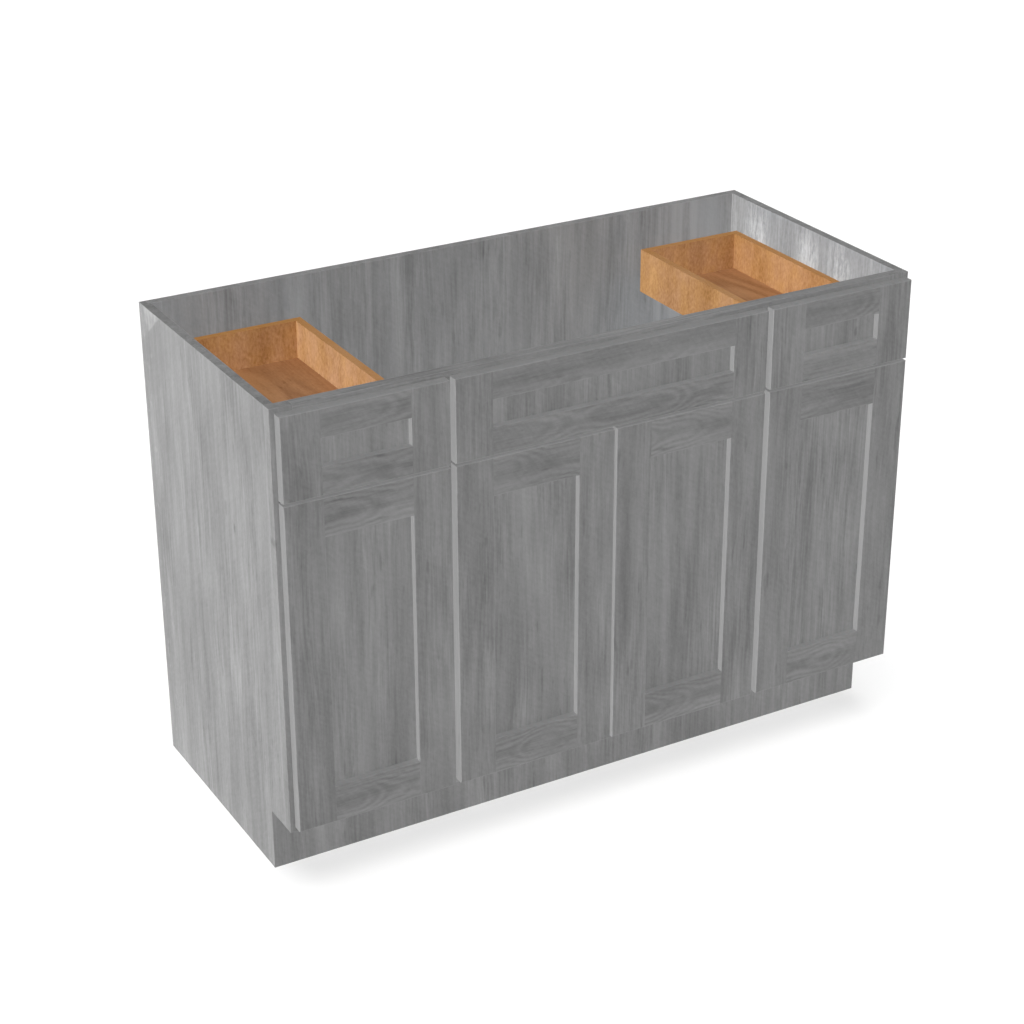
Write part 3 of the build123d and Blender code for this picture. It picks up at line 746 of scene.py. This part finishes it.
def hinge_plate(shape, stand):
    """The arm's plate on the frame's edge, rounded at its corners and where the strap runs into it."""
    near, far, end = plate_near + plate_corner, plate_far - plate_corner, plate_half_length - plate_corner
    root, root_level = plate_near - strap_fillet, strap_half_width + strap_fillet
    outline = []
    for out, level, radius, first, last in (
        (root, -root_level, strap_fillet, 90, 0), (near, -end, plate_corner, 180, 270),
        (far, -end, plate_corner, 270, 360), (far, end, plate_corner, 0, 90),
        (near, end, plate_corner, 90, 180), (root, root_level, strap_fillet, 0, -90),
    ):
        for i in range(5):
            a = radians(first + (last - first) * i / 4)
            outline.append((out + radius * cos(a), level + radius * sin(a)))
    faces = []
    for across in (plate_under, plate_top):
        faces.append([shape.verts.new(stand @ Vector((across, out, level))) for out, level in outline])
    skin(shape, faces)
    shape.faces.new(faces[0][::-1])
    upper = shape.faces.new(faces[1])
    rim = list(upper.edges)
    bmesh.ops.bevel(shape, geom=rim, offset=plate_eased, segments=2, profile=0.5, affect="EDGES")


pin_back = -0.268225
pin_acrosses = (-0.5956, -0.29355)
pin_levels = (0.205, 0.6383)
plate_screw_step = 0.017
plate_screw_length = 0.016
middle_screw_length = 0.001
plate_screws = ((-plate_screw_step, plate_screw_length), (0.0, middle_screw_length),
                (plate_screw_step, plate_screw_length))
plate_middle = (plate_near + plate_far) / 2
arms, screws = bmesh.new(), bmesh.new()
for hand in (1.0, -1.0):
    for across in pin_acrosses:
        for level in pin_levels:
            pin = Matrix.Translation((hand * across, pin_back, level))
            pin = pin @ Matrix.Diagonal((hand, 1.0, 1.0, 1.0))
            hinge_strap(arms, pin)
            hinge_plate(arms, pin)
            for step, length in plate_screws:
                seat = pin @ stand_at((plate_top, plate_middle, step), (1.0, 0.0, 0.0))
                cross_screw(screws if step else arms, seat, length)
add_piece("hinge_arm_set", arms, nickel, "cabinet", "hinge_arms")
add_piece("hinge_screw_set", screws, yellow_zinc, "cabinet", "hinge_screws")


# Bumpers: small clear soft domes stuck on the frame, which the doors and drawers close against.
# They are moulded flat at the foot and stand as high as the gap behind the fronts.
clear_dark, clear_light = (0.38, 0.39, 0.39, 1.0), (0.62, 0.62, 0.61, 1.0)
soft_clear = moulded("clear soft bumper", clear_dark, clear_light, smooth=0.28, rough=0.42)
dome = [(0.004, 0.0), (0.004, 0.0004), (0.0037, 0.001)]
dome += [(0.0029, 0.00155), (0.0016, 0.00183), (0.0005, 0.0019)]
frame_front = -0.256175
behind_doors = ((0.02, 0.32755), (0.1387, 0.71195))
behind_drawers = ((0.28205, 0.32755, 0.5841), (0.72915, 0.8535))
shape = bmesh.new()
for acrosses, levels in (behind_doors, behind_drawers):
    for across in acrosses:
        for level in levels:
            for hand in (-1.0, 1.0):
                stand = stand_at((hand * across, frame_front, level), (0.0, -1.0, 0.0))
                shape.faces.new(turned(shape, stand, dome))
add_piece("bumper_set", shape, soft_clear, "cabinet", "bumpers")


# Studio: a pale floor, level light from all sides with more from the left, and the camera of the photograph.
# One more lamp from above lights only the floor, and the cabinet in its way leaves a soft shadow there.
def seen_directly(tree):
    """One where a ray comes from the camera, a mirror or a glass, and nothing where it only lights."""
    path = put(tree, "ShaderNodeLightPath").outputs
    seen = reckon(tree, "MAXIMUM", path["Is Camera Ray"], path["Is Glossy Ray"])
    return reckon(tree, "MAXIMUM", seen, path["Is Transmission Ray"])


white = grey(1.0)
glow_strength = 0.10
backdrop_strength = 1.0
room = bpy.data.worlds.new("studio")
bpy.context.scene.world = room
room.use_nodes = True
tree = room.node_tree
tree.nodes.clear()
glow = put(tree, "ShaderNodeBackground", {"Color": white, "Strength": glow_strength})
backdrop = put(tree, "ShaderNodeBackground", {"Color": white, "Strength": backdrop_strength})
feeds = {0: seen_directly(tree), 1: glow.outputs[0], 2: backdrop.outputs[0]}
put(tree, "ShaderNodeOutputWorld", {"Surface": put(tree, "ShaderNodeMixShader", feeds).outputs[0]})

reach = 30.0
floor_mesh = bpy.data.meshes.new("floor")
corners = [(-reach, -reach, 0.0), (reach, -reach, 0.0), (reach, reach, 0.0), (-reach, reach, 0.0)]
floor_mesh.from_pydata(corners, [], [(0, 1, 2, 3)])
floor = bpy.data.objects.new("floor", floor_mesh)
bpy.context.scene.collection.objects.link(floor)
floor_alone = bpy.data.collections.new("floor alone")
floor_alone.objects.link(floor)

floor_lighting = grey(0.25)
floor_seen = grey(0.9)
floor_lift = 0.09
finish, tree, shader = new_finish("pale floor")
seen = seen_directly(tree)
tree.links.new(tint(tree, seen, floor_lighting, floor_seen), shader.inputs["Base Color"])
shader.inputs["Roughness"].default_value = 1.0
shader.inputs["Specular IOR Level"].default_value = 0.0
shader.inputs["Emission Color"].default_value = white
tree.links.new(times(tree, seen, floor_lift), shader.inputs["Emission Strength"])
floor.data.materials.append(finish)

for name, towards, level, spread_angle in (
    ("lamp from the left", (1.0, 0.0, 0.0), 1.20, 20),
    ("lamp from the front", (0.0, 1.0, 0.0), 0.61, 20),
    ("lamp from above", (0.0, 0.0, -1.0), 0.50, 20),
    ("lamp from the right", (-1.0, 0.0, 0.0), 0.30, 20),
    ("lamp from behind", (0.0, -1.0, 0.0), 0.52, 20),
    ("lamp from below", (0.0, 0.0, 1.0), 0.40, 20),
    ("lamp on the floor", (0.10, 0.08, -1.0), 0.45, 50),
):
    lamp = bpy.data.lights.new(name, "SUN")
    lamp.energy = level * pi
    lamp.angle = radians(spread_angle)
    lamp.use_shadow = name == "lamp on the floor"
    holder = bpy.data.objects.new(name, lamp)
    holder.rotation_euler = Vector(towards).to_track_quat("-Z", "Y").to_euler()
    holder.visible_glossy = False
    bpy.context.scene.collection.objects.link(holder)
    if lamp.use_shadow:
        holder.light_linking.receiver_collection = floor_alone

eye = Vector((-1.88002, -3.249, 2.26103))
aim = Vector((-0.18671, -0.25617, 0.60224))
tilt = radians(-0.2136)
ahead = (aim - eye).normalized()
level_right = ahead.cross(Vector((0.0, 0.0, 1.0))).normalized()
right = (Matrix.Rotation(-tilt, 3, ahead) @ level_right).normalized()
up = right.cross(ahead)
camera = bpy.data.objects.new("camera", bpy.data.cameras.new("camera"))
camera.data.lens = 81.6
camera.data.sensor_width = 36.0
camera.matrix_world = Matrix((right, up, -ahead)).transposed().to_4x4()
camera.location = eye
bpy.context.scene.collection.objects.link(camera)
bpy.context.scene.camera = camera
bpy.context.scene.view_settings.view_transform = "Standard"
